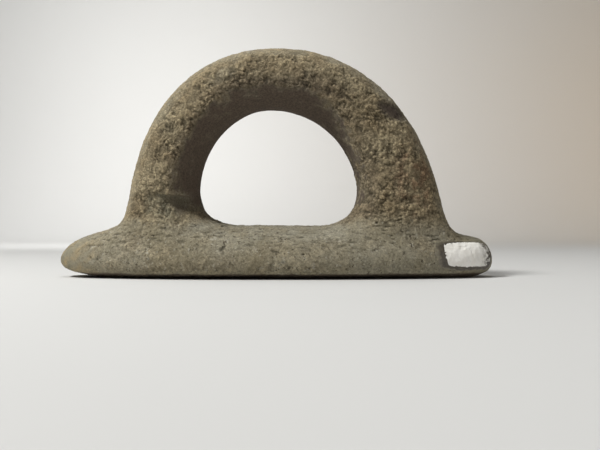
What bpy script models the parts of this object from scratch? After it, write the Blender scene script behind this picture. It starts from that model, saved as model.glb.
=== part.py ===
"""Stirrup-handled stone pounder: one pecked stone, with a painted label on its right end.

Metres, +Z up. X runs along the base from left to right, -Y is the front,
and the origin is the middle of the flat underside.
"""

import math

import bmesh
import bpy
from mathutils import Vector, noise

# Along the base from its left tip to its right tip, measured at the handle's spring line
LEFT_SHOULDER = 0.0337
LEFT_LEG = 0.0351
OPENING_WIDTH = 0.0760
RIGHT_LEG = 0.0399
RIGHT_SHOULDER = 0.0253

# Upwards from the underside to the top of the handle
CREST_HEIGHT = 0.0255
OPENING_HEIGHT = 0.0546
CROWN_THICKNESS = 0.0309
SPRING_RISE = 0.0145        # from the crest of the base to where the opening is widest

# Front to back
BASE_DEPTH = 0.0600
FOOT_DEPTH = 0.0390
CROWN_DEPTH = 0.0330

# Base: a boat-shaped loaf whose ground underside is flat in the middle and turns up to a crisp rim
WIDEST_HEIGHT = 0.0082      # of the base's widest line, and of its two tips
RIM_HEIGHT = 0.0026         # of the rim above the flat of the underside
RIM_INSET = 0.0014          # from the widest line in to the rim
FLAT_SHARE = 0.60           # share of the underside's half depth that is flat
LEFT_UNDERCUT = 0.0300      # from a tip back to where the middle of the underside turns flat
RIGHT_UNDERCUT = 0.0140
LEFT_UPTURN = 0.0160        # from a tip back to where the rim runs level
RIGHT_UPTURN = 0.0060
LEFT_NOSE_RISE = 0.0082     # from the widest line up over the round of a nose
RIGHT_NOSE_RISE = 0.0098
LEFT_NOSE_LENGTH = 0.0130
RIGHT_NOSE_LENGTH = 0.0080
LEFT_SLOPE = 0.30           # rise of the crest for its run, from a nose to the handle
RIGHT_SLOPE = 0.20
UPTURN_BEND = 1.5           # 1 turns up straight from the flat to the rim, more is hollower at first
CIRCLE = 2.0                # roundness of a circle or an ellipse, and more is squarer
PLAN_ROUNDNESS = 2.2
SECTION_ROUNDNESS = 2.1

# Handle: a round arch whose legs splay and spread into the base
CROWN_SHIFT = -0.0022       # of the top of the arch, from the middle of the opening's spring line
OPENING_SHIFT = -0.0050     # of the top of the opening, from the same middle
LEFT_SPLAY = 0.0055         # how far a leg leans out of the round of the arch at its spring
RIGHT_SPLAY = 0.0095
ARCH_ROUNDNESS = 2.15       # of the handle's outline
OPENING_ROUNDNESS = 1.94
OUTSIDE_ROUNDNESS = 2.3     # of the outer half of the handle's section
LEFT_BEVEL = 0.66           # share of the half thickness that the opening's wall bevels away
RIGHT_BEVEL = 0.22
BEVEL_TURN = 0.25           # share of the way from the right leg to the left where the bevel is full
RIDGE_ROUND = 0.09          # share of the half thickness from the bevel's ridge to the points that round it
WALL_BULGE = 0.08           # share of the half depth that the wall stands out of the straight
EDGE_SWELL = 0.085          # share of the bevel put on its inner edge, for smoothing to take off
FOOT_FLARE = 0.0024         # how far a foot stands out past the leg at its spring
FOOT_RISE = 0.0015          # from the crest of the base up to the outer side of a foot
HOLLOW_RADIUS = 0.0140      # of the two lower corners of the opening
SHOULDER_FILLET = 0.0042    # between the outer side of a foot and the base
LUMP_HEIGHT = 0.0020        # of the lumps that pecking left on the handle's front and back
LUMP_SPACING = 0.0135
LEDGE_INSET = 0.0110        # from the left jamb out to the middle of a ledge across the left foot's front
LEDGE_REACH = 0.0190        # from there to the ends of the ledge
LEDGE_DEPTH = 0.0034        # of the step under the ledge, before smoothing
LEDGE_DROP = 0.0020         # from the ledge down to the bottom of the step

# Label: a lacquer film with white paint on it, round the front of the right end
LABEL_LENGTH = 0.0250
LABEL_HEIGHT = 0.0122
LABEL_TIP_GAP = 0.0155      # along the base from the right tip to the middle of the label
LABEL_RISE = 0.0112         # from the underside to the middle of the label
LACQUER_MARGIN = 0.0018
LABEL_ROUNDNESS = 4.0
FILM_THICKNESS = 0.0003
FILM_GAP = 0.0003

# Counts of faces in the cages, and the distance that joins their points
LEG_COLUMNS = 4
OPENING_COLUMNS = 8
SHOULDER_COLUMNS = 7
ARCH_SPANS = 24
LABEL_COLUMNS = 14
LABEL_ROWS = 8
WELD = 0.00001

# Places round a section of the base: along the underside as shares of its half depth, from the rim up
# to the widest line as shares of that rise, and from there to the crest at 90 degrees about that line
UNDERSIDE_SHARES = (-0.95, -0.82, -0.60, -0.40, 0.0, 0.40, 0.60, 0.82, 0.95)
RIM_SHARES = (0.0, 0.18, 0.55)
SIDE_DEGREES = (0.0, 20.0, 40.0, 65.0)
FOOTPRINT_DEGREES = 40.0    # the handle grows out of the base above this line, front and back
CORNER_PULL = 0.2           # share of a corner's radius where smoothing rounds a cage to that radius

LENGTH = LEFT_SHOULDER + LEFT_LEG + OPENING_WIDTH + RIGHT_LEG + RIGHT_SHOULDER
SPRING_HEIGHT = CREST_HEIGHT + SPRING_RISE
TIP = LENGTH / 2
LEFT_FLANK = LEFT_SHOULDER - TIP
LEFT_JAMB = LEFT_FLANK + LEFT_LEG
RIGHT_JAMB = LEFT_JAMB + OPENING_WIDTH
RIGHT_FLANK = RIGHT_JAMB + RIGHT_LEG
SPRING_MIDDLE = (LEFT_JAMB + RIGHT_JAMB) / 2
CROWN_MIDDLE = SPRING_MIDDLE + CROWN_SHIFT
OPENING_MIDDLE = SPRING_MIDDLE + OPENING_SHIFT


def clear_scene():
    for obj in list(bpy.data.objects):
        bpy.data.objects.remove(obj, do_unlink=True)


def new_collection(name):
    collection = bpy.data.collections.new(name)
    bpy.context.scene.collection.children.link(collection)
    return collection


def new_material(name, colour, roughness):
    material = bpy.data.materials.new(name)
    material.use_nodes = True
    shader = material.node_tree.nodes["Principled BSDF"]
    shader.inputs["Base Color"].default_value = (*colour, 1.0)
    shader.inputs["Roughness"].default_value = roughness
    shader.inputs["Metallic"].default_value = 0.0
    return material


def new_object(name, bm, material, collection):
    mesh = bpy.data.meshes.new(name)
    bm.to_mesh(mesh)
    bm.free()
    mesh.shade_smooth()
    mesh.materials.append(material)
    obj = bpy.data.objects.new(name, mesh)
    collection.objects.link(obj)
    return obj


def quarter(share, roundness):
    """Height of a rounded quarter arc, from 1 at share 0 to 0 at share 1."""
    return (1.0 - min(abs(share), 1.0) ** roundness) ** (1.0 / roundness)


def squircle(across, up, roundness):
    """A direction's point on the superellipse of half size 1."""
    size = (abs(across) ** roundness + abs(up) ** roundness) ** (1.0 / roundness)
    return across / size, up / size


def swell(points):
    """How far a ring of that many points stands outside the surface that smoothing makes of it."""
    return 1.0 / math.cos(math.pi / points)


def base_widths(x):
    """Half the depth of the base at x, and half the depth of its underside there."""
    widest = BASE_DEPTH / 2 * quarter(x / TIP, PLAN_ROUNDNESS)
    return widest, widest - min(RIM_INSET, widest / 2)


def upturned(x, level, length):
    """Height of a line that runs level, and over that length turns up to the widest line at a tip."""
    past_level = max(0.0, abs(x) - (TIP - length)) / length
    return WIDEST_HEIGHT - (WIDEST_HEIGHT - level) * quarter(past_level, CIRCLE)


def base_crest(x):
    """Height of the base's crest at x: up over a nose, and on up a slope to its full height."""
    if x < 0.0:
        rise, length, slope = LEFT_NOSE_RISE, LEFT_NOSE_LENGTH, LEFT_SLOPE
    else:
        rise, length, slope = RIGHT_NOSE_RISE, RIGHT_NOSE_LENGTH, RIGHT_SLOPE
    from_tip = TIP - abs(x)
    nose = rise * quarter(1.0 - min(from_tip / length, 1.0), CIRCLE)
    return min(CREST_HEIGHT, WIDEST_HEIGHT + nose + slope * from_tip)


def underside_point(x, share):
    """A point on the underside at x, by its share of the half depth there."""
    left = x < 0.0
    middle = upturned(x, 0.0, LEFT_UNDERCUT if left else RIGHT_UNDERCUT)
    rim = upturned(x, RIM_HEIGHT, LEFT_UPTURN if left else RIGHT_UPTURN)
    past_flat = max(0.0, abs(share) - FLAT_SHARE) / (1.0 - FLAT_SHARE)
    return Vector((x, share * base_widths(x)[1], middle + (rim - middle) * past_flat ** UPTURN_BEND))


def rim_point(x, share):
    """A point on the back of the base at x, by its share of the rise from the rim to the widest line."""
    widest = base_widths(x)[0]
    rim = underside_point(x, 1.0)
    out = math.sin(math.pi / 2 * share)
    return Vector((x, rim.y + (widest - rim.y) * out, rim.z + (WIDEST_HEIGHT - rim.z) * share))


def base_side(x, degrees):
    """A point on the back of the base at x, by its angle about the widest line."""
    angle = math.radians(degrees)
    out, up = squircle(math.cos(angle), math.sin(angle), SECTION_ROUNDNESS)
    return Vector((x, base_widths(x)[0] * out, WIDEST_HEIGHT + (base_crest(x) - WIDEST_HEIGHT) * up))


def base_section(x):
    """The ring of points round the base at x: along the underside, up the back and down the front."""
    along = [underside_point(x, share) for share in UNDERSIDE_SHARES]
    back = [rim_point(x, share) for share in RIM_SHARES]
    back += [base_side(x, degrees) for degrees in SIDE_DEGREES]
    front = [Vector((x, -point.y, point.z)) for point in reversed(back)]
    return along + back + [base_side(x, 90.0)] + front


def footprint(flank, jamb):
    """Outer and inner end of the patch of the base that a leg grows out of."""
    outward = math.copysign(1.0, flank - jamb)
    return flank + outward * (FOOT_FLARE + SHOULDER_FILLET), jamb - outward * HOLLOW_RADIUS


def even_steps(start, stop, count):
    """Places from start up to, but not including, stop."""
    return [start + (stop - start) * step / count for step in range(count)]


def tip_steps(foot, tip, count):
    """Places after a foot of the handle out to a tip, closer together towards the tip."""
    return [foot + (tip - foot) * math.sin(math.pi / 2 * step / count) for step in range(1, count + 1)]


def base_stations():
    """Places of the base's sections, from left tip to right tip."""
    left_outer, left_inner = footprint(LEFT_FLANK, LEFT_JAMB)
    right_outer, right_inner = footprint(RIGHT_FLANK, RIGHT_JAMB)
    stations = tip_steps(left_outer, -TIP, SHOULDER_COLUMNS)[::-1]
    stations += even_steps(left_outer, left_inner, LEG_COLUMNS)
    stations += even_steps(left_inner, right_inner, OPENING_COLUMNS)
    stations += even_steps(right_inner, right_outer, LEG_COLUMNS)
    return stations + [right_outer] + tip_steps(right_outer, TIP, SHOULDER_COLUMNS)


def arch_rim(angle):
    """Inner edge, outer edge, depth and leftness of the handle, by the angle from its right spring."""
    across, up = math.cos(angle), math.sin(angle)
    if across < 0.0:
        jamb, flank, splay = LEFT_JAMB, LEFT_FLANK, -LEFT_SPLAY
    else:
        jamb, flank, splay = RIGHT_JAMB, RIGHT_FLANK, RIGHT_SPLAY
    out, rise = squircle(abs(across), up, ARCH_ROUNDNESS)
    inner_out, inner_rise = squircle(abs(across), up, OPENING_ROUNDNESS)
    opening_rise = OPENING_HEIGHT - SPRING_RISE
    inner_x = OPENING_MIDDLE + (jamb - OPENING_MIDDLE) * inner_out
    outer_x = CROWN_MIDDLE + (flank - splay - CROWN_MIDDLE) * out + splay * (1.0 - rise) ** 2
    inner = Vector((inner_x, 0.0, SPRING_HEIGHT + opening_rise * inner_rise))
    outer = Vector((outer_x, 0.0, SPRING_HEIGHT + (opening_rise + CROWN_THICKNESS) * rise))
    return inner, outer, FOOT_DEPTH + (CROWN_DEPTH - FOOT_DEPTH) * up, (1.0 - across) / 2


def foot_rim(flank, jamb):
    """Inner edge, outer edge, depth and leftness of the handle where a leg spreads into the base."""
    outward = math.copysign(1.0, flank - jamb)
    corner = CORNER_PULL * HOLLOW_RADIUS
    inner = Vector((jamb - outward * corner, 0.0, CREST_HEIGHT + corner))
    outer = Vector((flank + outward * FOOT_FLARE, 0.0, CREST_HEIGHT + FOOT_RISE))
    return inner, outer, FOOT_DEPTH, (1.0 - outward) / 2


def square_ring(side):
    """Directions of the points round a square with that many steps a side."""
    half = side / 2
    edge = [(half, step - half) for step in range(side)]
    ring = []
    for _ in range(4):
        ring += edge
        edge = [(-up, across) for across, up in edge]
    return ring


def bevelled(across, along, bevel):
    """A direction's place on the half towards the opening: on the front up to the ridge, or on the wall."""
    ridge = 1.0 - bevel
    corner = LEG_COLUMNS / 2
    if across > -corner:
        return across / (corner - 1.0) * (ridge - RIDGE_ROUND), math.copysign(1.0, along)
    down = 1.0 - abs(along) / corner
    start = RIDGE_ROUND / bevel
    inner_half = max(0.0, down - 0.5) / 0.5
    run = start + (1.0 - start) * down + EDGE_SWELL * inner_half
    deep = (1.0 - start) * (1.0 - down) + WALL_BULGE * math.sin(math.pi * down)
    return -(ridge + bevel * run), math.copysign(deep, along)


def handle_section(leftness):
    """Places round the handle's section, as shares of its half thickness and half depth."""
    bevel = RIGHT_BEVEL + (LEFT_BEVEL - RIGHT_BEVEL) * min(1.0, leftness / BEVEL_TURN)
    directions = square_ring(LEG_COLUMNS)
    grown = swell(len(directions))
    section = []
    for across, along in directions:
        if across < 0.0:
            out, deep = bevelled(across, along, bevel)
        else:
            out, deep = squircle(across, along, OUTSIDE_ROUNDNESS)
        section.append((out * grown, deep * grown))
    return section


def handle_ring(inner, outer, depth, leftness):
    """The ring of points round the handle between two edges, with the lumps of its pecked front and back."""
    centre = (inner + outer) / 2
    reach = (outer - inner) / 2
    ring = []
    for across, along in handle_section(leftness):
        point = centre + reach * across
        point.y = along * depth / 2
        point.y += along * LUMP_HEIGHT * noise.noise(point / LUMP_SPACING)
        ring.append(point)
    return ring


def ledge_ring(spring, foot):
    """A ring between the left leg's spring and its foot, set back across the front under the ledge."""
    ring = []
    for above, below in zip(spring, foot):
        point = above.lerp(below, LEDGE_DROP / SPRING_RISE)
        off_middle = (point.x - LEFT_JAMB + LEDGE_INSET) / LEDGE_REACH
        if point.y < 0.0:
            point.y += LEDGE_DEPTH * quarter(off_middle, CIRCLE)
        ring.append(point)
    return ring


def handle_rings():
    """Rings of points round the handle, from left foot to right foot."""
    rims = [foot_rim(LEFT_FLANK, LEFT_JAMB)]
    rims += [arch_rim(math.pi * (1.0 - step / ARCH_SPANS)) for step in range(ARCH_SPANS + 1)]
    rims += [foot_rim(RIGHT_FLANK, RIGHT_JAMB)]
    rings = [handle_ring(*rim) for rim in rims]
    foot, spring = rings[:2]
    return [foot, ledge_ring(spring, foot)] + rings[1:]


def rolled_grid(bm, rings):
    """A tube through the rings: a grid, rolled up and welded along its seam and at closed ends."""
    spans, steps = len(rings) - 1, len(rings[0])
    made = bmesh.ops.create_grid(bm, x_segments=spans, y_segments=steps, size=0.5)
    for vert in made["verts"]:
        ring = round((vert.co.x + 0.5) * spans)
        step = round((vert.co.y + 0.5) * steps)
        vert.co = rings[ring][step % steps]
    bmesh.ops.remove_doubles(bm, verts=made["verts"], dist=WELD)


def open_footprint(bm, flank, jamb):
    """Takes away the patch of the base that a leg grows out of."""
    low, high = sorted(footprint(flank, jamb))
    patch = []
    for face in bm.faces:
        middle = face.calc_center_median()
        line = base_side(middle.x, FOOTPRINT_DEGREES)
        if low < middle.x < high and abs(middle.y) < line.y and middle.z > line.z:
            patch.append(face)
    bmesh.ops.delete(bm, geom=patch, context="FACES")


def join_feet(bm):
    """Bridges each end of the handle to its footprint on the base."""
    for side in (-1.0, 1.0):
        open_edges = [edge for edge in bm.edges if edge.is_boundary]
        rims = [edge for edge in open_edges if (edge.verts[0].co.x - SPRING_MIDDLE) * side > 0.0]
        bmesh.ops.bridge_loops(bm, edges=rims)


def make_stone(collection, material):
    """Base and handle, one block of stone, as a cage that smoothing rounds."""
    bm = bmesh.new()
    rolled_grid(bm, [base_section(x) for x in base_stations()])
    open_footprint(bm, LEFT_FLANK, LEFT_JAMB)
    open_footprint(bm, RIGHT_FLANK, RIGHT_JAMB)
    rolled_grid(bm, handle_rings())
    join_feet(bm)
    bmesh.ops.recalc_face_normals(bm, faces=bm.faces)
    stone = new_object("stone_body", bm, material, collection)
    smooth = stone.modifiers.new("worn_round", "SUBSURF")
    smooth.levels = smooth.render_levels = 1
    return stone


def label_frame():
    """Middle of the label on the front of the base, and the base's directions along and up from there."""
    x = TIP - LABEL_TIP_GAP
    up = (LABEL_RISE - WIDEST_HEIGHT) / (base_crest(x) - WIDEST_HEIGHT)
    degrees = math.degrees(math.atan2(up, quarter(up, SECTION_ROUNDNESS)))
    turned = Vector((1.0, -1.0, 1.0))
    middle = base_side(x, degrees) * turned
    along = (base_side(x + LABEL_LENGTH / 2, degrees) - base_side(x - LABEL_LENGTH / 2, degrees)) * turned
    upward = (base_side(x, degrees + 1.0) - base_side(x, degrees - 1.0)) * turned
    return middle, along.normalized(), upward.normalized()


def make_film(name, stone, collection, material, margin, layer):
    """A thin film: a round-cornered patch pressed onto the stone, lifted off it and given thickness."""
    middle, along, upward = label_frame()
    half_length, half_height = LABEL_LENGTH / 2 + margin, LABEL_HEIGHT / 2 + margin
    bm = bmesh.new()
    made = bmesh.ops.create_grid(bm, x_segments=LABEL_COLUMNS, y_segments=LABEL_ROWS, size=1.0)
    for vert in made["verts"]:
        reach = max(abs(vert.co.x), abs(vert.co.y))
        if reach > WELD:
            across, up = squircle(vert.co.x, vert.co.y, LABEL_ROUNDNESS)
            vert.co = middle + reach * (along * across * half_length + upward * up * half_height)
        else:
            vert.co = middle
    film = new_object(name, bm, material, collection)
    film.parent = stone
    pressed = film.modifiers.new("pressed_on", "SHRINKWRAP")
    pressed.target = stone
    pressed.wrap_method = "NEAREST_SURFACEPOINT"
    lifted = film.modifiers.new("lifted", "DISPLACE")
    lifted.mid_level = 0.0
    lifted.strength = FILM_GAP + layer * (FILM_THICKNESS + FILM_GAP)
    thick = film.modifiers.new("thickness", "SOLIDIFY")
    thick.thickness = FILM_THICKNESS
    thick.offset = 1.0
    return film


def main():
    clear_scene()
    parts = new_collection("stone_pounder")
    stone = make_stone(parts, new_material("pecked_stone", (0.21, 0.18, 0.13), 0.9))
    lacquer = new_material("clear_lacquer", (0.09, 0.075, 0.055), 0.45)
    make_film("label_lacquer", stone, parts, lacquer, LACQUER_MARGIN, 0)
    paint = new_material("white_paint", (0.62, 0.59, 0.53), 0.6)
    make_film("label_paint", stone, parts, paint, 0.0, 1)


main()
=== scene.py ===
"""Looks of the stirrup-handled stone pounder: pecked stone, and a bare painted label on a lacquer coat.

Metres, in the frame of the solids: X along the base, -Y the front, Z up from the underside.
The stone's marks and relief, and the widths of all patterns, are in millimetres.
A pair of numbers says where a look starts and where it is full, unless its comment says otherwise.
"""

import math

import bmesh
import bpy
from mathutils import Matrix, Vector, noise
from mathutils.bvhtree import BVHTree


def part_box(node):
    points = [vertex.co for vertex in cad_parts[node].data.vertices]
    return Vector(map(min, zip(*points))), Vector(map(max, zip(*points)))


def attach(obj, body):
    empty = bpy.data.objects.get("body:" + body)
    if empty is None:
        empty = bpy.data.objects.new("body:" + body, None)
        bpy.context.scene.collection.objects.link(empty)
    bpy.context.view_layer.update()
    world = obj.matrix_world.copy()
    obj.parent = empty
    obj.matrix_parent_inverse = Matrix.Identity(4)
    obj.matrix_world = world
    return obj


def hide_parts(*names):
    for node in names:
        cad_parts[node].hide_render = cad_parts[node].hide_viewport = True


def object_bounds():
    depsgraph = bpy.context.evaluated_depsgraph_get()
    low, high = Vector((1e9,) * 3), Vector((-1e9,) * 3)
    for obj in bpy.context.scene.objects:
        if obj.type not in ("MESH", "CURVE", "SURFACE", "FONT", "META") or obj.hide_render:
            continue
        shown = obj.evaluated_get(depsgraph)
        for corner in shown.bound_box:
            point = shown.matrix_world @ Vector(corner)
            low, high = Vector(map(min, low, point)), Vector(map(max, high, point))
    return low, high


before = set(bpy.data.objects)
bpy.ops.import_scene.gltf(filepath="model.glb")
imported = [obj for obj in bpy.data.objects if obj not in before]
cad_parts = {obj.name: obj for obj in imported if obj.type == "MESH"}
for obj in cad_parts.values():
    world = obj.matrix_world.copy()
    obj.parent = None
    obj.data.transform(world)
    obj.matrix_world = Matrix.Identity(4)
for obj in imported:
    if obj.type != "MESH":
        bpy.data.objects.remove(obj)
cad_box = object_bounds()

MM = 0.001

# Camera, level and just above the table
CAMERA_PLACE = Vector((0.0115, -0.4068, 0.0250))
CAMERA_TURN = (math.radians(90.0), 0.0, 0.0)
CAMERA_LENS = 50.0
CAMERA_SENSOR = 36.0
CAMERA_NEAR = 0.01

# Lights: name, place, what it is aimed at, size, power, colour, and its spread in degrees
POUNDER_MIDDLE = (0.0, 0.0, 0.05)
LIGHTS = (
    ("key", (-0.54, -0.28, 0.79), POUNDER_MIDDLE, 0.20, 9.4, (1.0, 1.0, 0.99), 180.0),
    ("top", (-0.1, 0.20, 1.2), POUNDER_MIDDLE, 0.7, 4.4, (1.0, 1.0, 1.0), 180.0),
    ("fill", (0.80, -0.80, 0.30), POUNDER_MIDDLE, 0.6, 1.3, (1.0, 0.96, 0.92), 180.0),
    ("wall", (-0.30, 0.30, 0.40), (-0.20, 1.1, 0.14), 0.3, 1.6, (1.0, 1.0, 1.0), 100.0),
    ("room", (0.85, 0.30, 0.30), (0.60, 1.1, 0.10), 0.4, 0.5, (1.0, 0.60, 0.18), 100.0))
ROOM_COLOUR = (1.0, 0.93, 0.84, 1.0)
ROOM_STRENGTH = 0.092

# Floor, level from front to back, and the backdrop that it curves up into
SWEEP_SIDE = 2.5
SWEEP_FRONT, SWEEP_BACK = -1.6, 0.8
SWEEP_RADIUS, SWEEP_STEPS = 0.3, 12
SWEEP_HEIGHT = 2.2
SWEEP_COLOUR = (0.62, 0.62, 0.608, 1.0)

# Finishes: roughness and specular level
STONE_FINISH = (0.9, 0.25)
LACQUER_FINISH = (0.42, 0.5)
PAINT_FINISH = (0.6, 0.4)
SWEEP_FINISH = (0.9, 0.1)

# Sockets of a Mix node that mixes colours
MIX_SHARE, MIX_FIRST, MIX_SECOND, MIX_RESULT = 0, 6, 7, 2

# Colours of the stone
WHITE = (1.0, 1.0, 1.0, 1.0)
GROUND_DARK, GROUND_PALE = (0.240, 0.215, 0.146, 1.0), (0.293, 0.274, 0.207, 1.0)
CRUST_DARK, CRUST_PALE = (0.302, 0.237, 0.141, 1.0), (0.388, 0.324, 0.205, 1.0)
FLECK_COLOUR = (0.40, 0.375, 0.295, 1.0)
PIT_COLOUR = (0.098, 0.080, 0.054, 1.0)
# Dark brown of the smooth grip, also used for the stone's painted shade
GRIP_AND_SHADE_COLOUR = (0.112, 0.085, 0.063, 1.0)
PLAIN_COLOUR = (0.92, 0.92, 0.90, 1.0)

# Patterns of noise: width, detail, roughness, the noise at the start and when full, and the strengths there
GROUND_CLOUDS = (16.0, 3.0, 0.55, 0.35, 0.65, 0.0, 1.0)
CRUST_CLOUDS = (12.0, 3.0, 0.55, 0.35, 0.65, 0.0, 1.0)
SPECK_PATCHES = (13.0, 2.0, 0.55, 0.35, 0.60, 0.35, 1.0)
FLECKS = (1.9, 3.0, 0.60, 0.41, 0.34, 0.0, 1.0)
DARK_PITS = (1.6, 3.0, 0.60, 0.59, 0.66, 0.0, 1.0)
# Patches where the painted shade between the crumbs is strong
CREVICE_SHADE_PATCHES = (9.0, 2.0, 0.55, 0.35, 0.65, 0.35, 1.0)
STONE_SPECKLE = (0.9, 4.0, 0.75, 0.34, 0.66, 0.66, 1.32)

# Tints of the stone, and painted light on the base's shoulder: the number that its points carry, colour and
# pattern
TINTS = (
    ("rust", (0.287, 0.196, 0.117, 1.0), (6.0, 4.0, 0.55, 0.42, 0.60, 0.0, 1.0)),
    ("green", (0.275, 0.256, 0.177, 1.0), (5.0, 4.0, 0.55, 0.30, 0.60, 0.0, 1.0)),
    ("ochre", (0.445, 0.345, 0.194, 1.0), (7.0, 4.0, 0.55, 0.40, 0.62, 0.0, 1.0)),
    # Painted light along the middle of the base's shoulder
    ("shoulder_light", (0.375, 0.360, 0.285, 1.0), (8.0, 4.0, 0.55, 0.35, 0.60, 0.15, 0.55)))

# How the stone's tone follows what its points carry: the range of a number, and of the tone that it gives
SMOOTH_PECKED = (0.40, 0.85)                    # from smooth to rough
# Painted shade in hollows and painted light on tops: from the fine relief, and from the crumbs' noise
RELIEF_SHADE_RANGE, RELIEF_SHADE_TONE = (-0.45, 0.35), (0.42, 1.22)
CREVICE_SHADE_RANGE, CREVICE_SHADE_TONE = (0.38, 0.60), (0.50, 1.24)
NOSE_SPECKS, NOSE_PLAIN = 0.35, 0.65            # on the noses: share of specks left, and of speckle lost

# Bump of crumbs and grain too small for the mesh: width, detail and roughness of the noise, height, strength
CRUMB_NOISE, CRUMB_BUMP = (1.25, 5.0, 0.65), 1.2 * MM
GRAIN_NOISE, GRAIN_BUMP, GRAIN_STRENGTH = (0.8, 4.0, 0.65), 0.4 * MM, 0.4

# Colours, patterns and bump of the lacquer
LACQUER_DARK, LACQUER_PALE = (0.066, 0.055, 0.040, 1.0), (0.102, 0.088, 0.067, 1.0)
LACQUER_CLOUDS = (5.0, 3.0, 0.55, 0.35, 0.65, 0.0, 1.0)
LACQUER_SPECKLE = (1.0, 3.0, 0.70, 0.3, 0.7, 0.75, 1.2)
LACQUER_BORDER, LACQUER_THIN = (0.87, 1.03), (0.262, 0.236, 0.166, 1.0)
LACQUER_NOISE, LACQUER_BUMP, LACQUER_STRENGTH = (0.9, 3.0, 0.55), 0.2 * MM, 0.25

# Colours, patterns and bump of the white paint
PAINT_WHITE, PAINT_CREAM = (0.96, 0.945, 0.90, 1.0), (0.92, 0.895, 0.83, 1.0)
PAINT_CLOUDS = (4.0, 3.0, 0.55, 0.4, 0.7, 0.0, 1.0)
PAINT_STAINS, STAIN_COLOUR = (1.3, 4.0, 0.70, 0.58, 0.75, 0.0, 0.40), (0.55, 0.52, 0.44, 1.0)
PAINT_WEAR, WEAR_COLOUR = (1.8, 4.0, 0.70, 0.40, 0.58, 0.0, 1.0), (0.15, 0.13, 0.10, 1.0)
PAINT_WEAR_ALONG = (0.40, 0.85)
PAINT_NOISE, PAINT_BUMP, PAINT_STRENGTH = (0.8, 3.0, 0.55), 0.15 * MM, 0.3

# The stone's skin: fine even faces over the solid, joined again where they are flat once the relief is on
WELD = 0.01 * MM
QUAD_BEND = math.radians(40.0)
ROUNDING_LEVELS = 2
SKIN_STEP = 0.45 * MM
SKIN_ROUNDS, SKIN_SOFTNESS = 6, 0.5
SKIN_TRIANGLES = 196000

# Parts of the stone, and where one turns into the next
OPENING_MIDDLE = Vector((0.0, 0.0, 43.0))
BASE_TOP = 25.5
HANDLE_UP = (BASE_TOP - 1.5, BASE_TOP + 5.0)    # from the base onto the handle
CLEAR_UP = (BASE_TOP + 1.0, BASE_TOP + 11.0)    # from the spread of the legs to clear above it
NOSE_ALONG = (80.0, 98.0)                       # from the base onto its ends
RIGHT_ALONG = (2.0, 48.0)                       # from the left leg and the crown onto the right leg
BORDER_SHAKE, BORDER_WIDTH = 2.0, 6.0           # how far these borders wander, and how wide their waves are

# Relief of the stone: how wide and how high
SWELL_WIDTH, SWELL_HEIGHT = 34.0, 0.35
LUMP_WIDTH, LUMP_HEIGHT = 7.0, 0.40
CRUMB_WIDTH, CRUMB_HEIGHT = 1.9, 0.40
ROUGH_WIDTH, ROUGH_HEIGHT = 3.2, 0.44
GRAIN_WIDTH, GRAIN_HEIGHT = 1.8, 0.13
PIT_SPACING, PIT_DEPTH = 3.4, 0.50
SCRATCH_SIZE, SCRATCH_DEPTH = Vector((4.5, 4.0, 1.0)), 0.45
WRINKLE_SIZE, WRINKLE_HEIGHT = Vector((7.0, 6.0, 1.6)), 0.40
LUMP_LEAST = 0.25                               # share of the lumps where nothing is pecked

# Noise of several sizes: how fast they fade, the ratio from one to the next, and how many there are
ROUGH_SIZES = (0.5, 2.2, 3)
GRAIN_SIZES = (0.8, 2.1, 3)
DRAWN_SIZES = (0.9, 2.0, 3)

# Crumbs of the pecked crust
CRUMB_SHAKE = 1.2                               # how far they are pushed out of their even places
CREVICE_WIDTH, CRUMB_LEVEL = 0.45, 0.6          # as shares of a crumb's width and height
CRUST_LEAST, CRUST_PATCHES, CRUST_BESIDE = 0.55, 0.60, 0.35     # everywhere, in patches, beside the opening
CRUST_PATCH_WIDTH, CRUST_PATCH_NOISE = 9.0, (-0.30, 0.30)
BESIDE_START, BESIDE_END = (-0.45, -0.10), (0.55, 0.20)         # by how far the skin faces the opening

# Pits and scratches of the base, and wrinkles of the right foot
PIT_RADIUS, PIT_RADIUS_MORE = 0.14, 0.16        # as shares of the spacing
PIT_FLOOR = 0.4                                 # flat share of a pit's radius
PIT_CHANCE, PIT_SHUFFLE = -0.05, 7.7            # least chance that makes a pit, and what shuffles the chances
NOSE_PITLESS = 0.7                              # share of the pits that the noses lack
SCRATCH_NOISE, SCRATCH_UP = (0.25, 0.55), (10.0, 18.0)
WRINKLE_UP, WRINKLE_DOWN, WRINKLE_ALONG = (26.0, 31.0), (48.0, 38.0), (34.0, 44.0)

# Marks of their own on the front: middle along X, middle up Z, half width, half height, rise along X
NOTCHES = (
    (-23.5, 14.4, 2.1, 1.0, 0.8), (0.1, 13.1, 2.3, 0.7, -0.15), (12.1, 19.6, 2.2, 0.5, 0.0),
    (6.7, 5.6, 1.2, 0.9, 0.3), (12.9, 11.8, 1.2, 0.6, 0.0), (-25.0, 24.6, 1.1, 0.6, 0.0),
    (58.0, 29.2, 1.3, 0.7, 0.3), (57.8, 27.6, 1.4, 0.6, 0.3), (58.4, 26.0, 1.4, 0.6, 0.2),
    (42.5, 28.4, 0.9, 0.8, 0.0), (47.0, 26.2, 1.0, 0.7, 0.0), (-83.0, 9.0, 0.7, 0.7, 0.0),
    (-86.5, 10.0, 0.7, 0.7, 0.0))
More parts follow.
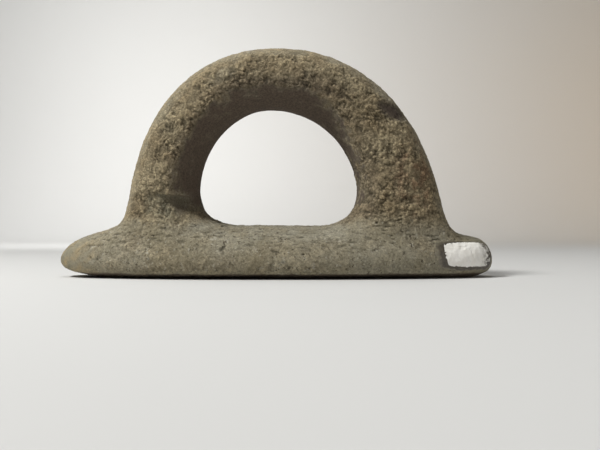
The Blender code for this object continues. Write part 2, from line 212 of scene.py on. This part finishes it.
# The shoulder scar is a dark patch of its own, with painted shade of its dent added to its colour
SHOULDER_SCAR = (55.0, 79.0, 9.5, 6.0, -0.35)
WORN_PATCH = (-25.0, 95.5, 7.5, 5.5, 0.5)
GREEN_PATCH = (-51.0, 34.0, 15.0, 8.0, 0.0)
RUST_PATCH = (66.0, 48.0, 14.0, 24.0, 0.0)
MARK_EDGE = (1.0, 0.35)                         # as shares of a mark's half size
MARK_WAVE, MARK_WAVE_WIDTH = 0.20, 2.5          # of its uneven edge
MARK_FRAY, MARK_FRAY_WIDTH = 0.25, 0.9
NOTCH_DEPTH, SCAR_DEPTH, WORN_DEPTH = 0.6, 0.5, 0.2
# Both depths also darken the stone's colour as painted shade, through the fine relief
SCAR_FINE_DEPTH, STEP_FINE_DEPTH = 0.30, 0.25   # depth that darkens the stone as its fine relief does
SCAR_SMOOTHS, WORN_SMOOTHS, STEP_SMOOTHS = 0.8, 0.35, 0.6       # share of the pecking that they take off

# Step under the ledge of the left foot: middle, half width, the ledge's height and fall, drop, run and depth
LEDGE_MIDDLE, LEDGE_HALF, LEDGE_FULL = -49.0, 11.0, 0.3         # the last as a share of the half width
LEDGE_HEIGHT, LEDGE_FALL = 39.6, 0.13
LEDGE_WAVE, LEDGE_WAVE_WIDTH = 1.2, 4.0
LEDGE_DROP, LEDGE_RUN, LEDGE_DEPTH = 1.0, 7.5, 0.7
LIP_HEIGHT = 0.6                                # as a share of the step's depth
LIP_START, LIP_END = (-2.6, -0.8), (0.3, -0.5)

# Grip, smooth from hands and darkened as painted shade of the opening's walls: how far a wall faces the
# opening where the grip starts, and its growth, on the left and on the right
GRIP_LIMIT, GRIP_LIMIT_ALONG = (0.15, 1.05), (10.0, 52.0)
GRIP_GROWTH = (0.60, 0.25)
GRIP_WAVE, GRIP_WAVE_WIDTH = 0.34, 6.0
GRIP_FRAY, GRIP_FRAY_WIDTH = 0.30, 1.8
GRIP_SMOOTHS, GRIP_POLISH = 0.95, 0.8           # share of the pecking and of the grain that it takes off

# Painted shade beside the grip, on the crown's front over the opening, the right leg's inside and the
# opening's edges: how dark, and where
CROWN_SHADE, CROWN_SHADE_UP, CROWN_SHADE_FACING = 0.60, (78.0, 90.0), (0.35, -0.10)
LEG_SHADE, LEG_SHADE_FACING = 0.40, (-0.05, -0.60)
EDGE_SHADE_LEFT, EDGE_SHADE_RIGHT, EDGE_RIGHT_UP = 0.45, 0.28, (54.0, 66.0)
EDGE_SHADE_REACH, EDGE_SHADE_DOWN = (54.0, 47.5), (96.0, 82.0)

# Wear of the handle's outside, and pecking left on the base: limits on the left and on the right
WORN_LIMIT = (0.62, 0.68)
WORN_BEFORE, WORN_AFTER = 0.10, 0.35
WORN_WAVE, WORN_WAVE_WIDTH = 0.30, 9.0
WEAR_SMOOTHS = 0.62
BASE_PECKED, BASE_PATCHES, BASE_PATCH_WIDTH = 0.30, 0.30, 11.0
NOSE_SMOOTHS, RIGHT_SMOOTHS = 0.25, 0.10
PECKED_BELOW, PECKED_ABOVE = (1.5, 6.0), (5.0, 8.0)             # how far from the base's top

# Painted shade of the upturned edge, painted light along the base's shoulder, and yellow of the crown and the
# left nose
UNDERSIDE_SHADE, UNDERSIDE_SHADE_DOWN, UNDERSIDE_SHADE_UP = 0.85, (2.9, 2.0), (0.1, 0.7)
SHOULDER_LIGHT_LEFT, SHOULDER_LIGHT_RIGHT, SHOULDER_LIGHT_UP = (-52.0, -34.0), (48.0, 28.0), (16.0, 21.5)
OCHRE_CROWN, OCHRE_FACING, OCHRE_ALONG = 0.40, (0.35, 0.95), (50.0, 0.0)
OCHRE_NOSE, OCHRE_STREAKS, OCHRE_NOSE_ALONG = 0.45, 1.2, (-78.0, -94.0)
STREAK_TURN = math.radians(38.0)
STREAK_LENGTH, STREAK_WIDTH = 16.0, 2.4

# Label: half its length and half its height, its middle's shift towards the tip and up, and its edge
PAINT_HALF, PAINT_SHIFT = (14.0 * MM, 6.6 * MM), (2.4 * MM, 0.0)
LACQUER_HALF, LACQUER_SHIFT = (17.8 * MM, 8.7 * MM), (1.5 * MM, -1.1 * MM)
PAINT_WOBBLE, LACQUER_WOBBLE = 0.05, 0.07
LABEL_ROUNDNESS = 6.0
EDGE_PULL = 3                                   # power by which only the film's rim follows its edge
BRUSH_WAVES, BRUSH_FRAYS = 2.3, 9.0             # the higher, the more of them run round the edge
BRUSH_FRAY, FRAY_SEED = 0.8, 4.0                # height of the frays against the waves, and their seed
FILM_STEPS, FILM_SOFTNESS = (110, 64), 0.5      # faces along and up, and how far its points are evened
FILM_THICKNESS = 0.06 * MM
LACQUER_LIFT, PAINT_LIFT = 0.10 * MM, 0.22 * MM

# Chips and streaks where the paint is gone: height, waves along and up half the label, and seed of each noise
CHIPS = ((1.0, 12.0, 6.0, 0.0), (0.6, 28.0, 14.0, 3.0))
STREAKS = ((1.0, 5.0, 7.0, 7.0), (0.5, 14.0, 20.0, 9.0))
CHIP_RIM, CHIP_LIMIT = (0.82, 1.0), (1.5, 0.30)                 # the limit inside and at the rim
WORN_END, STREAK_LIMIT = (0.50, 0.90), (1.2, -0.08)             # the limit elsewhere and at the right end


def smoothstep(low, high, value):
    """A soft step from 0 at low to 1 at high."""
    share = min(max((value - low) / (high - low), 0.0), 1.0)
    return share * share * (3.0 - 2.0 * share)


def between(first, second, share):
    """A number on the way from the first to the second."""
    return first + (second - first) * share


def new_piece(name, bm, material):
    """A mesh object at the origin, shaded smooth."""
    mesh = bpy.data.meshes.new(name)
    bm.to_mesh(mesh)
    bm.free()
    mesh.shade_smooth()
    mesh.materials.append(material)
    piece = bpy.data.objects.new(name, mesh)
    bpy.context.scene.collection.objects.link(piece)
    return piece


def settle(piece):
    """Makes what a piece's modifiers give its own mesh, and takes them off."""
    graph = bpy.context.evaluated_depsgraph_get()
    piece.data = bpy.data.meshes.new_from_object(piece.evaluated_get(graph))
    piece.modifiers.clear()
    piece.data.shade_smooth()


# Shader helpers

def fill(tree, socket, value):
    """Links a socket to another one, or sets its own value."""
    if isinstance(value, bpy.types.NodeSocket):
        tree.links.new(value, socket)
    else:
        socket.default_value = value


def add(tree, kind, settings=None, **sockets):
    """Adds a shader node with its options and sockets."""
    made = tree.nodes.new("ShaderNode" + kind)
    for option, value in (settings or {}).items():
        setattr(made, option, value)
    for name, value in sockets.items():
        fill(tree, made.inputs[name.replace("_", " ")], value)
    return made


def mixed(tree, share, first, second, blend="MIX"):
    """A colour between two others."""
    made = add(tree, "Mix", {"data_type": "RGBA", "blend_type": blend})
    for socket, value in ((MIX_SHARE, share), (MIX_FIRST, first), (MIX_SECOND, second)):
        fill(tree, made.inputs[socket], value)
    return made.outputs[MIX_RESULT]


def product(tree, first, second):
    """Two numbers multiplied."""
    made = add(tree, "Math", {"operation": "MULTIPLY"})
    fill(tree, made.inputs[0], first)
    fill(tree, made.inputs[1], second)
    return made.outputs[0]


def spread(tree, value, low, high, start=0.0, stop=1.0):
    """A number taken from one range to another, and kept inside it."""
    made = add(tree, "MapRange", Value=value, From_Min=low, From_Max=high, To_Min=start, To_Max=stop)
    return made.outputs[0]


def clouds(tree, place, width, detail, roughness):
    """Soft noise whose clouds are about that many millimetres wide."""
    made = add(tree, "TexNoise", Vector=place, Scale=1.0 / (width * MM), Detail=detail, Roughness=roughness)
    return made.outputs["Fac"]


def pattern(tree, place, width, detail, roughness, *ranges):
    """Soft noise taken to its range of strengths."""
    return spread(tree, clouds(tree, place, width, detail, roughness), *ranges)


def own(tree, name):
    """A number that the mesh carries at each of its points."""
    return add(tree, "Attribute", {"attribute_name": name}).outputs["Fac"]


def new_material(name, roughness, specular):
    """A material with its shader, and the place on the piece that its patterns follow."""
    material = bpy.data.materials.new(name)
    material.use_nodes = True
    tree = material.node_tree
    shader = tree.nodes["Principled BSDF"]
    shader.inputs["Roughness"].default_value = roughness
    shader.inputs["Specular IOR Level"].default_value = specular
    place = add(tree, "TexCoord").outputs["Object"]
    return material, tree, shader, place


# Materials

def stone_tone(tree, place, pecked):
    """Grey-brown on the ground base and olive brown on the pecked handle, with tints in patches and painted
    light on the base's shoulder.
    """
    ground = mixed(tree, pattern(tree, place, *GROUND_CLOUDS), GROUND_DARK, GROUND_PALE)
    rough = mixed(tree, pattern(tree, place, *CRUST_CLOUDS), CRUST_DARK, CRUST_PALE)
    tone = mixed(tree, pecked, ground, rough)
    for name, colour, clouding in TINTS:
        share = product(tree, own(tree, name), pattern(tree, place, *clouding))
        tone = mixed(tree, share, tone, colour)
    return tone


def specked(tree, place, pecked, tone):
    """A tone with pale flecks and dark pits where the stone is smooth, and fewer of them on the noses."""
    smooth = spread(tree, pecked, *SMOOTH_PECKED, 1.0, 0.0)
    share = product(tree, smooth, pattern(tree, place, *SPECK_PATCHES))
    share = product(tree, share, spread(tree, own(tree, "nose"), 0.0, 1.0, 1.0, NOSE_SPECKS))
    tone = mixed(tree, product(tree, share, pattern(tree, place, *FLECKS)), tone, FLECK_COLOUR)
    return mixed(tree, product(tree, share, pattern(tree, place, *DARK_PITS)), tone, PIT_COLOUR)


def stone_colour(tree, place, crumbs):
    """The stone's tones, darkened on the grip and by painted shade, with painted shade in hollows and between
    the crumbs and painted light on their tops, and speckled all over.
    """
    pecked = own(tree, "pecked")
    tone = specked(tree, place, pecked, stone_tone(tree, place, pecked))
    # Dark of the grip, with painted shade round the opening, in the scar's dent and on the upturned edge
    tone = mixed(tree, own(tree, "dark"), tone, GRIP_AND_SHADE_COLOUR)
    # Painted shade in the relief's hollows and painted light on its tops
    depth = spread(tree, own(tree, "relief"), *RELIEF_SHADE_RANGE, *RELIEF_SHADE_TONE)
    tone = mixed(tree, 1.0, tone, depth, "MULTIPLY")
    # Painted shade between the crumbs and painted light on them, in patches
    patchy = product(tree, pecked, pattern(tree, place, *CREVICE_SHADE_PATCHES))
    crevice = mixed(tree, patchy, WHITE, spread(tree, crumbs, *CREVICE_SHADE_RANGE, *CREVICE_SHADE_TONE))
    tone = mixed(tree, 1.0, tone, crevice, "MULTIPLY")
    plain = spread(tree, own(tree, "nose"), 0.0, 1.0, 0.0, NOSE_PLAIN)
    speckle = mixed(tree, plain, pattern(tree, place, *STONE_SPECKLE), PLAIN_COLOUR)
    return mixed(tree, 1.0, tone, speckle, "MULTIPLY")


def stone_bump(tree, place, crumbs):
    """Grain all over, and crumbs where the stone is pecked."""
    grain = clouds(tree, place, *GRAIN_NOISE)
    grained = add(tree, "Bump", Height=grain, Strength=GRAIN_STRENGTH, Distance=GRAIN_BUMP)
    made = add(tree, "Bump", Height=crumbs, Distance=CRUMB_BUMP, Strength=own(tree, "pecked"),
               Normal=grained.outputs["Normal"])
    return made.outputs["Normal"]


def stone_material():
    """Matte stone, rough or smooth as its points say."""
    material, tree, shader, place = new_material("pecked_stone_finish", *STONE_FINISH)
    crumbs = clouds(tree, place, *CRUMB_NOISE)
    tree.links.new(stone_colour(tree, place, crumbs), shader.inputs["Base Color"])
    tree.links.new(stone_bump(tree, place, crumbs), shader.inputs["Normal"])
    return material


def lacquer_material():
    """A clear coat that leaves the stone under it dark, and thins out at its edge."""
    material, tree, shader, place = new_material("lacquer_finish", *LACQUER_FINISH)
    tone = mixed(tree, pattern(tree, place, *LACQUER_CLOUDS), LACQUER_DARK, LACQUER_PALE)
    tone = mixed(tree, spread(tree, own(tree, "edge"), *LACQUER_BORDER), tone, LACQUER_THIN)
    tone = mixed(tree, 1.0, tone, pattern(tree, place, *LACQUER_SPECKLE), "MULTIPLY")
    tree.links.new(tone, shader.inputs["Base Color"])
    made = add(tree, "Bump", Height=clouds(tree, place, *LACQUER_NOISE), Strength=LACQUER_STRENGTH,
               Distance=LACQUER_BUMP)
    tree.links.new(made.outputs["Normal"], shader.inputs["Normal"])
    return material


def paint_material():
    """Brushed white paint, greyed in places and thin towards its right end."""
    material, tree, shader, place = new_material("white_paint_finish", *PAINT_FINISH)
    tone = mixed(tree, pattern(tree, place, *PAINT_CLOUDS), PAINT_WHITE, PAINT_CREAM)
    tone = mixed(tree, pattern(tree, place, *PAINT_STAINS), tone, STAIN_COLOUR)
    worn_end = spread(tree, own(tree, "along"), *PAINT_WEAR_ALONG)
    thin = product(tree, worn_end, pattern(tree, place, *PAINT_WEAR))
    tree.links.new(mixed(tree, thin, tone, WEAR_COLOUR), shader.inputs["Base Color"])
    made = add(tree, "Bump", Height=clouds(tree, place, *PAINT_NOISE), Strength=PAINT_STRENGTH,
               Distance=PAINT_BUMP)
    tree.links.new(made.outputs["Normal"], shader.inputs["Normal"])
    return material


# The stone

def even_skin(node, name):
    """A closed, fine and even mesh over a node's solid, without the solid's facets."""
    bm = bmesh.new()
    bm.from_mesh(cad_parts[node].data)
    bmesh.ops.remove_doubles(bm, verts=bm.verts, dist=WELD)
    bmesh.ops.join_triangles(
        bm, faces=bm.faces, angle_face_threshold=QUAD_BEND, angle_shape_threshold=math.pi)
    skin = new_piece(name, bm, stone_material())
    rounded = skin.modifiers.new("rounded", "SUBSURF")
    rounded.levels = rounded.render_levels = ROUNDING_LEVELS
    remesh = skin.modifiers.new("even_faces", "REMESH")
    remesh.mode = "VOXEL"
    remesh.voxel_size = SKIN_STEP
    evened = skin.modifiers.new("evened", "SMOOTH")
    evened.factor = SKIN_SOFTNESS
    evened.iterations = SKIN_ROUNDS
    settle(skin)
    return skin


def facing(place, normal):
    """How far a place faces away from the opening's middle: 1 on the outer edge, -1 on the opening's wall."""
    away = Vector((place.x - OPENING_MIDDLE.x, 0.0, place.z - OPENING_MIDDLE.z)).normalized()
    return away.dot(normal)


def wavy_height(place):
    """Height of a place, shaken so that the borders between the stone's parts wander."""
    return place.z + BORDER_SHAKE * noise.noise(place / BORDER_WIDTH)


def on_handle(place):
    """From 0 on the base to 1 on the handle."""
    return smoothstep(*HANDLE_UP, wavy_height(place))


def above_foot(place):
    """From 0 where the handle's legs spread into the base to 1 clear above it."""
    return smoothstep(*CLEAR_UP, wavy_height(place))


def on_nose(place):
    """From 0 along the base to 1 on its two ends."""
    return smoothstep(*NOSE_ALONG, abs(place.x))


def rightness(place):
    """From 0 on the left leg and the left of the crown to 1 on the right leg."""
    return smoothstep(*RIGHT_ALONG, place.x)


def painted_underside_shade(place):
    """Painted shade on the upturned edge round the working face, but not on its flat."""
    return UNDERSIDE_SHADE * smoothstep(*UNDERSIDE_SHADE_DOWN, place.z) * smoothstep(*UNDERSIDE_SHADE_UP, place.z)


def painted_shoulder_light(place):
    """Painted light along the middle of the base's upper front, lightest towards its top."""
    along = smoothstep(*SHOULDER_LIGHT_LEFT, place.x) * smoothstep(*SHOULDER_LIGHT_RIGHT, place.x)
    return along * smoothstep(*SHOULDER_LIGHT_UP, place.z) * (1.0 - on_handle(place))


def how_gripped_and_shaded(place, normal):
    """1 on the opening's walls, smoothed by hands and darkened there as painted shade, and 0 elsewhere."""
    limit = between(*GRIP_LIMIT, smoothstep(*GRIP_LIMIT_ALONG, place.x))
    wave = GRIP_WAVE * noise.noise(place / GRIP_WAVE_WIDTH)
    fray = GRIP_FRAY * noise.noise(place / GRIP_FRAY_WIDTH)
    growth = between(*GRIP_GROWTH, rightness(place))
    return above_foot(place) * smoothstep(limit, limit + growth, wave + fray - facing(place, normal))


def painted_opening_shade(place, normal):
    """How far painted shade darkens the crown's front over the opening, the right leg's inside, and the edges
    there.
    """
    right = rightness(place)
    outward = facing(place, normal)
    crown = CROWN_SHADE * smoothstep(*CROWN_SHADE_UP, place.z) * smoothstep(*CROWN_SHADE_FACING, outward)
    leg = LEG_SHADE * right * on_handle(place) * smoothstep(*LEG_SHADE_FACING, outward)
    reach = math.hypot(place.x - OPENING_MIDDLE.x, place.z - OPENING_MIDDLE.z)
    edge = between(EDGE_SHADE_LEFT, EDGE_SHADE_RIGHT * smoothstep(*EDGE_RIGHT_UP, place.z), right)
    edge *= smoothstep(*EDGE_SHADE_REACH, reach)
    return max(crown, leg, edge * above_foot(place) * smoothstep(*EDGE_SHADE_DOWN, place.z))


def how_pecked(place, normal, gripped_and_shaded):
    """From 0, ground and worn smooth, to 1, pecked and left rough."""
    right = rightness(place)
    limit = between(*WORN_LIMIT, right)
    wave = WORN_WAVE * noise.noise(place / WORN_WAVE_WIDTH)
    worn = smoothstep(limit - WORN_BEFORE, limit + WORN_AFTER, facing(place, normal) + wave)
    handle = (1.0 - GRIP_SMOOTHS * gripped_and_shaded) * (1.0 - WEAR_SMOOTHS * worn)
    base = BASE_PECKED + BASE_PATCHES * noise.noise(place / BASE_PATCH_WIDTH)
    base = base - NOSE_SMOOTHS * on_nose(place) - RIGHT_SMOOTHS * right
    start = BASE_TOP - between(*PECKED_BELOW, right)
    stop = BASE_TOP + between(*PECKED_ABOVE, right)
    return between(max(base, 0.0), handle, smoothstep(start, stop, wavy_height(place)))


def how_ochre(place, normal):
    """Yellow tint over the left of the crown, and in slanting streaks on the left nose."""
    crown = smoothstep(*OCHRE_FACING, facing(place, normal)) * smoothstep(*OCHRE_ALONG, place.x)
    crown *= on_handle(place)
    along = place.x * math.cos(STREAK_TURN) + place.z * math.sin(STREAK_TURN)
    across = place.z * math.cos(STREAK_TURN) - place.x * math.sin(STREAK_TURN)
    streak = noise.noise(Vector((along / STREAK_LENGTH, across / STREAK_WIDTH, place.y / STREAK_LENGTH)))
    nose = smoothstep(*OCHRE_NOSE_ALONG, place.x) * (OCHRE_NOSE + OCHRE_STREAKS * streak)
    return max(OCHRE_CROWN * crown, min(nose, 1.0))


def in_mark(place, normal, mark):
    """How far a place on the front lies in a mark, from 1 in its middle to 0 past its uneven edge."""
    if normal.y > 0.0:
        return 0.0
    middle_x, middle_z, half_width, half_height, rise = mark
    across = place.x - middle_x
    reach = math.hypot(across / half_width, (place.z - middle_z - rise * across) / half_height)
    reach += MARK_WAVE * noise.noise(place / MARK_WAVE_WIDTH)
    reach += MARK_FRAY * noise.noise(place / MARK_FRAY_WIDTH)
    return smoothstep(*MARK_EDGE, reach)


def foot_step(place, normal):
    """Share of the step's depth under the ledge of the left foot: full at the ledge, and run out below it.

    The lip over the step stands out, so its share is negative.
    """
    if normal.y > 0.0:
        return 0.0
    across = place.x - LEDGE_MIDDLE
    ledge = LEDGE_HEIGHT - LEDGE_FALL * across + LEDGE_WAVE * noise.noise(place / LEDGE_WAVE_WIDTH)
    below = ledge - place.z
    lip = LIP_HEIGHT * smoothstep(*LIP_START, below) * smoothstep(*LIP_END, below)
    step = smoothstep(0.0, LEDGE_DROP, below) * smoothstep(LEDGE_RUN, LEDGE_DROP, below)
    return smoothstep(LEDGE_HALF, LEDGE_FULL * LEDGE_HALF, abs(across)) * (step - lip)


def crust(place, normal):
    """Height of the crumbly skin that pecking leaves: uneven crumbs, with crevices between them.

    The crumbs are the largest beside the opening's wall.
    """
    inward = -facing(place, normal)
    beside = smoothstep(*BESIDE_START, inward) * smoothstep(*BESIDE_END, inward)
    shaken = place + CRUMB_SHAKE * noise.noise_vector(place / CRUMB_WIDTH)
    reach, _ = noise.voronoi(shaken / CRUMB_WIDTH)
    crumb = smoothstep(0.0, CREVICE_WIDTH, reach[1] - reach[0]) - CRUMB_LEVEL
    rough = noise.fractal(place / ROUGH_WIDTH, *ROUGH_SIZES)
    patch = smoothstep(*CRUST_PATCH_NOISE, noise.noise(place / CRUST_PATCH_WIDTH))
    strong = CRUST_LEAST + CRUST_PATCHES * patch + CRUST_BESIDE * beside
    return strong * (CRUMB_HEIGHT * crumb + ROUGH_HEIGHT * rough)


def pits(place):
    """Depth of the scattered small pits of the ground base."""
    reach, centres = noise.voronoi(place / PIT_SPACING)
    chance = noise.noise(centres[0] * PIT_SHUFFLE)
    radius = PIT_RADIUS + PIT_RADIUS_MORE * max(chance, 0.0)
    return PIT_DEPTH * smoothstep(radius, PIT_FLOOR * radius, reach[0]) if chance > PIT_CHANCE else 0.0


def drawn_out(place, size):
    """Noise of several sizes, drawn out by a size of its own along each axis."""
    return noise.fractal(Vector(place[axis] / size[axis] for axis in range(3)), *DRAWN_SIZES)


def scratches(place):
    """Depth of the pits and scratches drawn out along the base."""
    return SCRATCH_DEPTH * smoothstep(*SCRATCH_NOISE, drawn_out(place, SCRATCH_SIZE))


def wrinkles(place):
    """Height of the level wrinkles over the right foot."""
    foot = smoothstep(*WRINKLE_UP, place.z) * smoothstep(*WRINKLE_DOWN, place.z)
    foot *= smoothstep(*WRINKLE_ALONG, place.x)
    return foot * WRINKLE_HEIGHT * drawn_out(place, WRINKLE_SIZE)


def dress(place, normal):
    """Height of the stone's relief at a place on its skin, and the looks that the place carries."""
    gripped_and_shaded = how_gripped_and_shaded(place, normal)
    step = foot_step(place, normal)
    scar = in_mark(place, normal, SHOULDER_SCAR)
    worn = in_mark(place, normal, WORN_PATCH)
    notch = max(in_mark(place, normal, mark) for mark in NOTCHES)
    nose = on_nose(place)

    pecked = how_pecked(place, normal, gripped_and_shaded)
    pecked *= (1.0 - max(SCAR_SMOOTHS * scar, WORN_SMOOTHS * worn)) * (1.0 - STEP_SMOOTHS * max(step, 0.0))
    upper = smoothstep(*SCRATCH_UP, place.z) * (1.0 - on_handle(place))
    pitted = (1.0 - NOSE_PITLESS * nose) * pits(place) + upper * scratches(place)

    # The fine relief also paints shade into the colour of its hollows and light onto its tops
    fine = pecked * (crust(place, normal) + wrinkles(place))
    fine += (1.0 - GRIP_POLISH * gripped_and_shaded) * GRAIN_HEIGHT * noise.fractal(place / GRAIN_WIDTH, *GRAIN_SIZES)
    fine -= (1.0 - pecked) * (1.0 - gripped_and_shaded) * pitted
    fine -= notch * NOTCH_DEPTH + STEP_FINE_DEPTH * step + SCAR_FINE_DEPTH * scar
    broad = SWELL_HEIGHT * noise.noise(place / SWELL_WIDTH)
    broad += between(LUMP_LEAST, 1.0, pecked) * LUMP_HEIGHT * noise.noise(place / LUMP_WIDTH)
    broad -= step * LEDGE_DEPTH + scar * SCAR_DEPTH + worn * WORN_DEPTH

    # Dark of the smooth grip, together with painted shade on and beside the opening's walls
    grip_and_painted_shade = max(gripped_and_shaded * (1.0 - abs(step)), painted_opening_shade(place, normal))
    looks = {
        "pecked": pecked,
        # Dark: the grip, painted shade round the opening and on the upturned edge, and the scar's own dark
        # with painted shade of its dent
        "dark": max(grip_and_painted_shade, scar, painted_underside_shade(place)),
        "ochre": how_ochre(place, normal),
        "rust": in_mark(place, normal, RUST_PATCH),
        "green": in_mark(place, normal, GREEN_PATCH),
        "relief": fine,
        "nose": nose,
        "shoulder_light": painted_shoulder_light(place)}
    return broad + fine, looks


def make_stone():
    """Base and handle, one stone, with the marks of its making and wear."""
    stone = even_skin("stone_body", "pecked_stone")
    mesh = stone.data
    skin = [(vert.co / MM, vert.normal.copy()) for vert in mesh.vertices]
    carried = {}
    for vert, (place, normal) in zip(mesh.vertices, skin):
        height, looks = dress(place, normal)
        vert.co += normal * height * MM
        vert.co.z = max(vert.co.z, cad_box[0].z)
        for name, value in looks.items():
            carried.setdefault(name, []).append(value)
    for name, values in carried.items():
        mesh.attributes.new(name, "FLOAT", "POINT").data.foreach_set("value", values)
    fewer = stone.modifiers.new("flats_joined", "DECIMATE")
    fewer.ratio = SKIN_TRIANGLES / (2 * len(mesh.polygons))
    settle(stone)
    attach(stone, "root")
    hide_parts("stone_body")
    return stone


# Label

def film_frame(node, surface, shift):
    """Middle of a film on the stone, moved along and up it by a shift, and those two directions there."""
    low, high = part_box(node)
    middle, out, _, _ = surface.find_nearest((low + high) / 2)
    along = Vector((0.0, 0.0, 1.0)).cross(out).normalized()
    upward = out.cross(along)
    return middle + along * shift[0] + upward * shift[1], along, upward


def brushed_edge(across, up, wobble, seed):
    """Reach of a film in a direction, as a share of its half size, uneven as a brush leaves it."""
    turn = Vector((across, up, 0.0)).normalized()
    wave = noise.noise(turn * BRUSH_WAVES + Vector((0.0, 0.0, seed)))
    fray = noise.noise(turn * BRUSH_FRAYS + Vector((0.0, 0.0, seed + FRAY_SEED)))
    return 1.0 + wobble * (wave + BRUSH_FRAY * fray)


def flaws(across, up, waves):
    """Noise over the label, added up from its waves."""
    return sum(height * noise.noise(Vector((across * along_count, up * up_count, seed)))
               for height, along_count, up_count, seed in waves)


def paint_gone(across, up):
    """Whether the paint is off at a place on the label: chips at the edges, streaks at the right end."""
    rim = smoothstep(*CHIP_RIM, max(abs(across), abs(up)))
    worn_end = smoothstep(*WORN_END, across)
    chipped = flaws(across, up, CHIPS) > between(*CHIP_LIMIT, rim)
    return chipped or flaws(across, up, STREAKS) > between(*STREAK_LIMIT, worn_end)


def brushed_film(name, node, surface, half_size, shift, wobble, lift, material, gone=None):
    """A coat brushed onto the stone: a patch with uneven edges, pressed on, flaked and given thickness."""
    middle, along, upward = film_frame(node, surface, shift)
    bm = bmesh.new()
    edges = bm.verts.layers.float.new("edge")
    along_film = bm.verts.layers.float.new("along")
    made = bmesh.ops.create_grid(bm, x_segments=FILM_STEPS[0], y_segments=FILM_STEPS[1], size=1.0)
    flakes = [face for face in bm.faces if gone and gone(*face.calc_center_median().xy)]
    for vert in made["verts"]:
        across, up = vert.co.x, vert.co.y
        reach = max(abs(across), abs(up))
        vert[edges] = reach
        vert[along_film] = across
        if reach > 0.0:
            size = (abs(across) ** LABEL_ROUNDNESS + abs(up) ** LABEL_ROUNDNESS) ** (1.0 / LABEL_ROUNDNESS)
            brushed = brushed_edge(across, up, wobble, lift / MM)
            edge = between(1.0, brushed, reach ** EDGE_PULL) * reach / size
            across, up = across * edge, up * edge
        flat = middle + along * across * half_size[0] + upward * up * half_size[1]
        pressed, out, _, _ = surface.find_nearest(flat)
        vert.co = pressed + out * lift
    bmesh.ops.smooth_vert(
        bm, verts=bm.verts, factor=FILM_SOFTNESS, use_axis_x=True, use_axis_y=True, use_axis_z=True)
    bmesh.ops.recalc_face_normals(bm, faces=bm.faces)
    bmesh.ops.delete(bm, geom=flakes, context="FACES")
    film = new_piece(name, bm, material)
    thick = film.modifiers.new("thickness", "SOLIDIFY")
    thick.thickness = FILM_THICKNESS
    thick.offset = 1.0
    settle(film)
    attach(film, "root")
    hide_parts(node)
    return film


def make_label(stone):
    """A bare white label on its coat of lacquer, round the front of the right end."""
    surface = BVHTree.FromPolygons(
        [vert.co for vert in stone.data.vertices], [face.vertices for face in stone.data.polygons])
    lacquer = brushed_film(
        "lacquer_coat", "label_lacquer", surface, LACQUER_HALF, LACQUER_SHIFT, LACQUER_WOBBLE,
        LACQUER_LIFT, lacquer_material())
    paint = brushed_film(
        "white_label", "label_paint", surface, PAINT_HALF, PAINT_SHIFT, PAINT_WOBBLE,
        PAINT_LIFT, paint_material(), paint_gone)


# Stage

def make_sweep():
    """A pale floor that curves up into a backdrop."""
    bm = bmesh.new()
    edge = [Vector((-SWEEP_SIDE, SWEEP_FRONT, 0.0)), Vector((-SWEEP_SIDE, SWEEP_BACK, 0.0))]
    for step in range(1, SWEEP_STEPS + 1):
        turn = math.pi / 2 * step / SWEEP_STEPS
        back = SWEEP_BACK + SWEEP_RADIUS * math.sin(turn)
        edge.append(Vector((-SWEEP_SIDE, back, SWEEP_RADIUS * (1.0 - math.cos(turn)))))
    edge.append(Vector((-SWEEP_SIDE, SWEEP_BACK + SWEEP_RADIUS, SWEEP_HEIGHT)))
    verts = [bm.verts.new(place) for place in edge]
    lines = [bm.edges.new(pair) for pair in zip(verts, verts[1:])]
    made = bmesh.ops.extrude_edge_only(bm, edges=lines)
    moved = [item for item in made["geom"] if isinstance(item, bmesh.types.BMVert)]
    bmesh.ops.translate(bm, verts=moved, vec=(2.0 * SWEEP_SIDE, 0.0, 0.0))
    bmesh.ops.recalc_face_normals(bm, faces=bm.faces)
    material, _, shader, _ = new_material("pale_sweep", *SWEEP_FINISH)
    shader.inputs["Base Color"].default_value = SWEEP_COLOUR
    new_piece("sweep", bm, material)


def make_light(name, place, target, size, power, colour, degrees):
    """A square soft light aimed at a place."""
    lamp = bpy.data.lights.new(name, "AREA")
    lamp.shape = "SQUARE"
    lamp.size = size
    lamp.energy = power
    lamp.color = colour
    lamp.spread = math.radians(degrees)
    light = bpy.data.objects.new(name, lamp)
    light.location = place
    light.rotation_euler = (Vector(target) - Vector(place)).to_track_quat("-Z", "Y").to_euler()
    bpy.context.scene.collection.objects.link(light)


def make_lights():
    """The soft lights, and a faint warm light from all round."""
    for light in LIGHTS:
        make_light(*light)
    world = bpy.data.worlds.new("room")
    world.use_nodes = True
    backdrop = world.node_tree.nodes["Background"]
    backdrop.inputs["Color"].default_value = ROOM_COLOUR
    backdrop.inputs["Strength"].default_value = ROOM_STRENGTH
    bpy.context.scene.world = world


def make_camera():
    """The camera, in front of the pounder."""
    lens = bpy.data.cameras.new("camera")
    lens.lens = CAMERA_LENS
    lens.sensor_width = CAMERA_SENSOR
    lens.clip_start = CAMERA_NEAR
    camera = bpy.data.objects.new("camera", lens)
    camera.location = CAMERA_PLACE
    camera.rotation_euler = CAMERA_TURN
    bpy.context.scene.collection.objects.link(camera)
    bpy.context.scene.camera = camera


make_camera()
make_lights()
make_sweep()
bpy.context.scene.view_settings.view_transform = "Standard"
make_label(make_stone())
